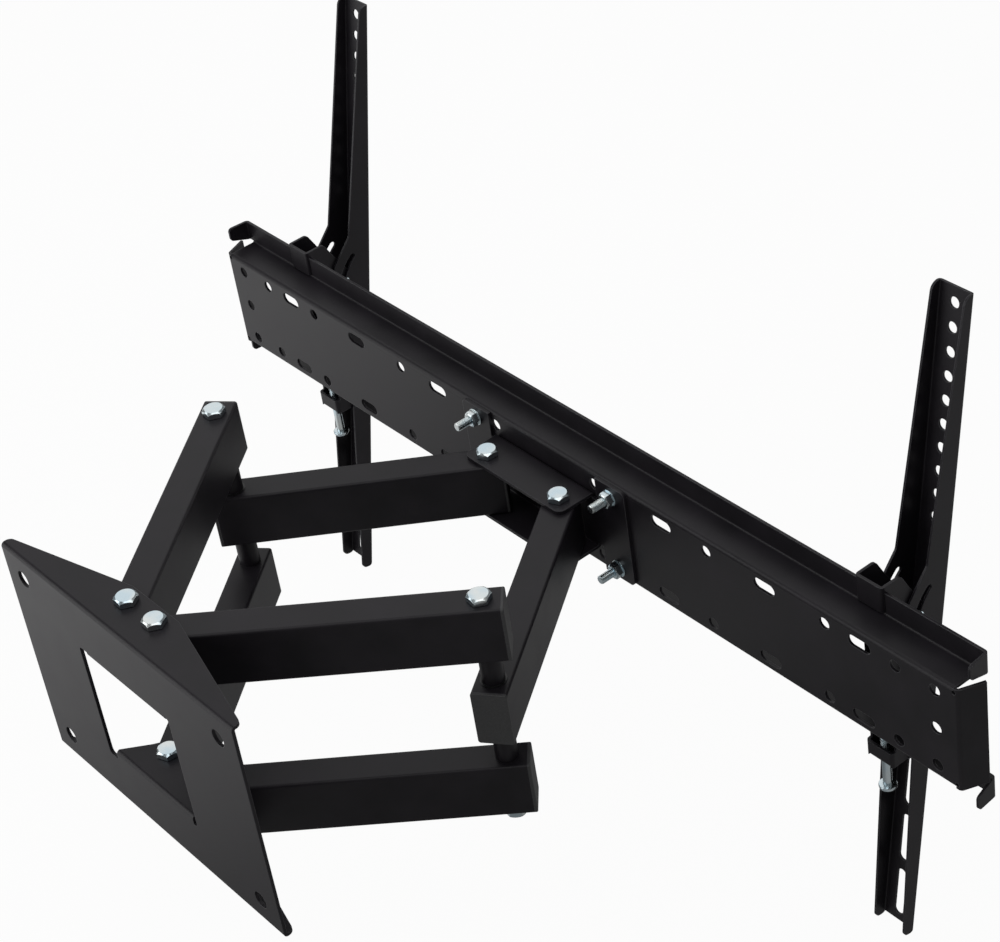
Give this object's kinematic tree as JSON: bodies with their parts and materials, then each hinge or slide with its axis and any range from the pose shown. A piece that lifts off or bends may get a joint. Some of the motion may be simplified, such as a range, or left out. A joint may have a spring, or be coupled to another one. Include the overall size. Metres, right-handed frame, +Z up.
{
  "type": "full-motion tv wall mount",
  "caption": "Full-motion TV wall mount: wall plate with window, paired folding box-tube arms, long hat-section rail and tilting slotted brackets hung on the rail.",
  "frame": {"origin": "middle of the wall bolt pattern on the wall face of the wall plate", "axes": "+Y from the wall into the room, +Z up, +X along the wall"},
  "size_m": [0.969, 0.57, 0.5956],
  "materials": {
    "powder_coated_steel": "satin black powder coat",
    "zinc_plated_steel": "bright blue-white zinc plate",
    "cap_plastic": "moulded, fine matt grain",
    "bush_plastic": "moulded, smooth"
  },
  "bodies": {
    "wall": {"wall_plate": "powder_coated_steel", "wall_pivot_bolts": "zinc_plated_steel", "wall_pivot_nuts": "zinc_plated_steel"},
    "left_wall_arm": {"left_upper_tube": "powder_coated_steel", "left_lower_tube": "powder_coated_steel", "left_wall_arm_caps": "cap_plastic", "left_wall_arm_bushes": "bush_plastic", "left_elbow_bolt": "zinc_plated_steel", "left_elbow_nut": "zinc_plated_steel", "left_elbow_spacers": "powder_coated_steel"},
    "left_tv_arm": {"left_tv_tube": "powder_coated_steel", "left_tv_arm_caps": "cap_plastic", "left_tv_arm_bushes": "bush_plastic"},
    "left_hanger": {"left_hanger": "powder_coated_steel", "left_tilt_bolts": "zinc_plated_steel", "left_tilt_nuts": "zinc_plated_steel"},
    "left_bracket": {"left_tilt_bracket": "powder_coated_steel"},
    "left_lock_screw": {"left_lock_screw": "zinc_plated_steel"},
    "right_wall_arm": {"right_upper_tube": "powder_coated_steel", "right_lower_tube": "powder_coated_steel", "right_wall_arm_caps": "cap_plastic", "right_wall_arm_bushes": "bush_plastic", "right_elbow_bolt": "zinc_plated_steel", "right_elbow_nut": "zinc_plated_steel", "right_elbow_spacers": "powder_coated_steel"},
    "right_tv_arm": {"right_tv_tube": "powder_coated_steel", "right_tv_arm_caps": "cap_plastic", "right_tv_arm_bushes": "bush_plastic"},
    "right_hanger": {"right_hanger": "powder_coated_steel", "right_tilt_bolts": "zinc_plated_steel", "right_tilt_nuts": "zinc_plated_steel"},
    "right_bracket": {"right_tilt_bracket": "powder_coated_steel"},
    "right_lock_screw": {"right_lock_screw": "zinc_plated_steel"},
    "head": {"head_bracket": "powder_coated_steel", "head_pivot_bolts": "zinc_plated_steel", "head_pivot_nuts": "zinc_plated_steel", "rail": "powder_coated_steel", "rail_bolts": "zinc_plated_steel", "rail_washers": "zinc_plated_steel", "rail_nuts": "zinc_plated_steel"}
  },
  "joints": [
    {"name": "left_wall_pivot", "type": "hinge", "parent": "wall", "child": "left_wall_arm", "pos_m": [-0.02, 0.0293, 0], "axis": [0, 0, 1], "range_deg": [-31, 44]},
    {"name": "left_elbow", "type": "hinge", "parent": "left_wall_arm", "child": "left_tv_arm", "pos_m": [-0.1803, 0.22439, 0], "axis": [0, 0, 1], "range_deg": [-91.69, 64.6]},
    {"name": "head_pivot", "type": "hinge", "parent": "left_tv_arm", "child": "head", "pos_m": [-0.0409, 0.401, 0], "axis": [0, 0, 1], "range_deg": [-33.6, 47.69]},
    {"name": "right_wall_pivot", "type": "hinge", "parent": "wall", "child": "right_wall_arm", "pos_m": [0.02, 0.0293, 0], "axis": [0, 0, 1], "range_deg": [-44.01, 31.01]},
    {"name": "right_elbow", "type": "hinge", "parent": "right_wall_arm", "child": "right_tv_arm", "pos_m": [0.18653, 0.2191, 0], "axis": [0, 0, 1], "range_deg": [-64.6, 91.69]},
    {"name": "left_hanger_slide", "type": "slide", "parent": "head", "child": "left_hanger", "axis": [1, 0, 0], "range_m": [-0.067, 0.325]},
    {"name": "left_tilt", "type": "hinge", "parent": "left_hanger", "child": "left_bracket", "pos_m": [-0.3809, 0.5333, 0.0098], "axis": [-1, 0, 0], "range_deg": [-28, 4]},
    {"name": "left_lock_travel", "type": "slide", "parent": "left_hanger", "child": "left_lock_screw", "axis": [0, 0, -1], "range_m": [0, 0.008]},
    {"name": "right_hanger_slide", "type": "slide", "parent": "head", "child": "right_hanger", "axis": [1, 0, 0], "range_m": [-0.3, 0.094]},
    {"name": "right_tilt", "type": "hinge", "parent": "right_hanger", "child": "right_bracket", "pos_m": [0.3676, 0.5333, 0.0098], "axis": [-1, 0, 0], "range_deg": [-26.4, 5.6]},
    {"name": "right_lock_travel", "type": "slide", "parent": "right_hanger", "child": "right_lock_screw", "axis": [0, 0, -1], "range_m": [0, 0.008]}
  ],
  "couplings": [
    {"joint": "left_elbow", "follows": "left_wall_pivot", "ratio": -2.0835},
    {"joint": "head_pivot", "follows": "left_wall_pivot", "ratio": 1.0835},
    {"joint": "right_wall_pivot", "follows": "left_wall_pivot", "ratio": -1},
    {"joint": "right_elbow", "follows": "left_wall_pivot", "ratio": 2.0835}
  ]
}
